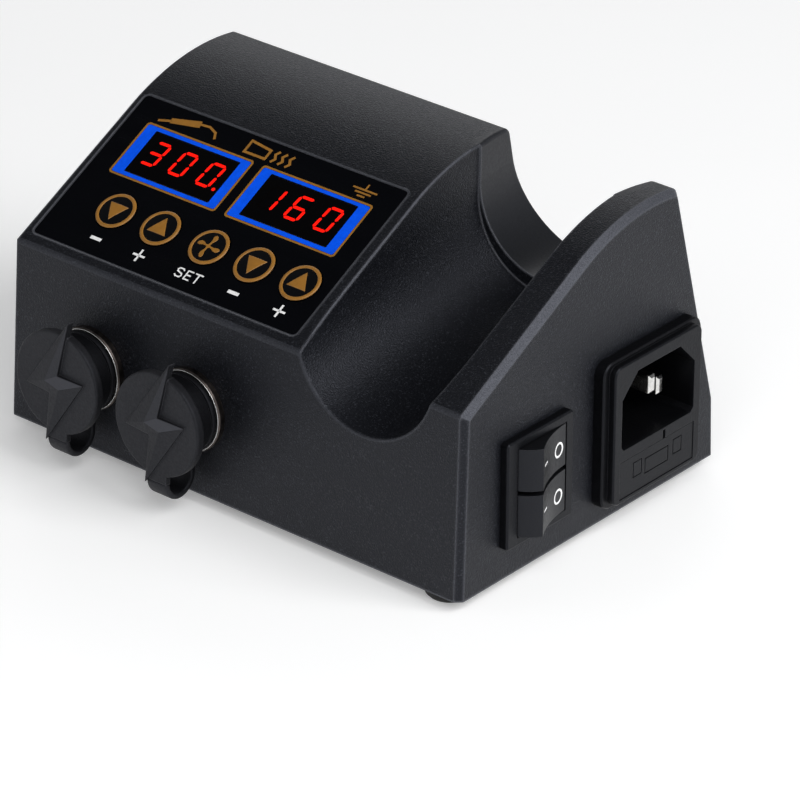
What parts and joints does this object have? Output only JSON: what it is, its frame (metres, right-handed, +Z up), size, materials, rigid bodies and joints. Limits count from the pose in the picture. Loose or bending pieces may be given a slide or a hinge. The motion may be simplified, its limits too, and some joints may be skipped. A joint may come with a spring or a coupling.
{
  "type": "soldering iron station",
  "caption": "Compact desk soldering and hot-air station: sloped control panel with displays and buttons, capped tool sockets, rest channel, rocker switches and mains inlet.",
  "frame": {"origin": "middle of the overall footprint, on the surface the feet stand on", "axes": "+X to the user's right, along the long side; +Y to the back; +Z up, the shortest extent"},
  "size_m": [0.1294, 0.0972, 0.0696],
  "materials": {
    "housing": "fine spark-eroded texture",
    "cover": "satin",
    "rubber": "matt",
    "fastener": "zinc plated",
    "overlay": "gloss print film",
    "lens": "dark tint",
    "display": "gloss",
    "button": "gloss",
    "circuit_board": "solder mask",
    "component_black": "satin",
    "component_green": "satin",
    "nickel": "nickel plated",
    "insulator": "satin",
    "contact": "gold plated",
    "switch": "satin",
    "rocker": "semi-gloss",
    "terminal": "tin plated",
    "inlet": "satin",
    "fuse_glass": "clear",
    "ferrite": "matt",
    "coil_tape": "satin tape",
    "capacitor": "printed sleeve",
    "heat_sink": "extruded"
  },
  "bodies": {
    "housing": {"main_shell": "housing", "bottom_cover": "cover", "rubber_feet": "rubber", "cover_screws": "fastener", "board_screws": "fastener", "panel_overlay": "overlay", "display_windows": "lens", "left_display": "display", "right_display": "display", "tact_switches": "component_black", "control_board": "circuit_board", "control_chips": "component_black", "socket_nuts": "fastener", "switch_housing": "switch", "rocker_pin": "fastener", "switch_terminals": "terminal", "inlet_body": "inlet", "inlet_pins": "nickel", "power_board": "circuit_board", "transformer_core": "ferrite", "transformer_coil": "coil_tape", "capacitors": "capacitor", "heat_sink": "heat_sink", "triacs": "component_black", "terminal_block": "component_green", "rectifier": "component_black", "left_socket_shell": "nickel", "left_socket_insert": "insulator", "left_socket_pins": "contact", "left_cap_strap": "rubber", "right_socket_shell": "nickel", "right_socket_insert": "insulator", "right_socket_pins": "contact", "right_cap_strap": "rubber"},
    "left_down_button": {"left_down_button": "button"},
    "left_up_button": {"left_up_button": "button"},
    "set_button": {"set_button": "button"},
    "right_down_button": {"right_down_button": "button"},
    "right_up_button": {"right_up_button": "button"},
    "left_dust_cap": {"left_dust_cap": "rubber"},
    "right_dust_cap": {"right_dust_cap": "rubber"},
    "upper_rocker": {"upper_rocker": "rocker"},
    "lower_rocker": {"lower_rocker": "rocker"},
    "fuse_drawer": {"fuse_drawer": "inlet", "fuse_tube": "fuse_glass", "fuse_caps": "nickel"}
  },
  "joints": [
    {"name": "left_down_press", "type": "slide", "parent": "housing", "child": "left_down_button", "axis": [0, 0.4772, -0.8788], "range_m": [0, 0.00035], "stiffness_N_per_m": 600},
    {"name": "left_up_press", "type": "slide", "parent": "housing", "child": "left_up_button", "axis": [0, 0.4772, -0.8788], "range_m": [0, 0.00035], "stiffness_N_per_m": 600},
    {"name": "set_press", "type": "slide", "parent": "housing", "child": "set_button", "axis": [0, 0.4772, -0.8788], "range_m": [0, 0.00035], "stiffness_N_per_m": 600},
    {"name": "right_down_press", "type": "slide", "parent": "housing", "child": "right_down_button", "axis": [0, 0.4772, -0.8788], "range_m": [0, 0.00035], "stiffness_N_per_m": 600},
    {"name": "right_up_press", "type": "slide", "parent": "housing", "child": "right_up_button", "axis": [0, 0.4772, -0.8788], "range_m": [0, 0.00035], "stiffness_N_per_m": 600},
    {"name": "left_cap_pull", "type": "slide", "parent": "housing", "child": "left_dust_cap", "axis": [0, -0.9993, 0.0366], "range_m": [0, 0.009], "deforming": ["left_cap_strap"]},
    {"name": "right_cap_pull", "type": "slide", "parent": "housing", "child": "right_dust_cap", "axis": [0, -0.9993, 0.0366], "range_m": [0, 0.009], "deforming": ["right_cap_strap"]},
    {"name": "upper_rocker_tilt", "type": "hinge", "parent": "housing", "child": "upper_rocker", "pos_m": [0.05723, -0.01314, 0.02697], "axis": [0.0175, 0, -0.9998], "range_deg": [0, 35]},
    {"name": "lower_rocker_tilt", "type": "hinge", "parent": "housing", "child": "lower_rocker", "pos_m": [0.05741, -0.01314, 0.01657], "axis": [0.0175, 0, -0.9998], "range_deg": [0, 35]},
    {"name": "fuse_drawer_slide", "type": "slide", "parent": "housing", "child": "fuse_drawer", "axis": [0.9998, 0, 0.0175], "range_m": [0, 0.013]}
  ]
}
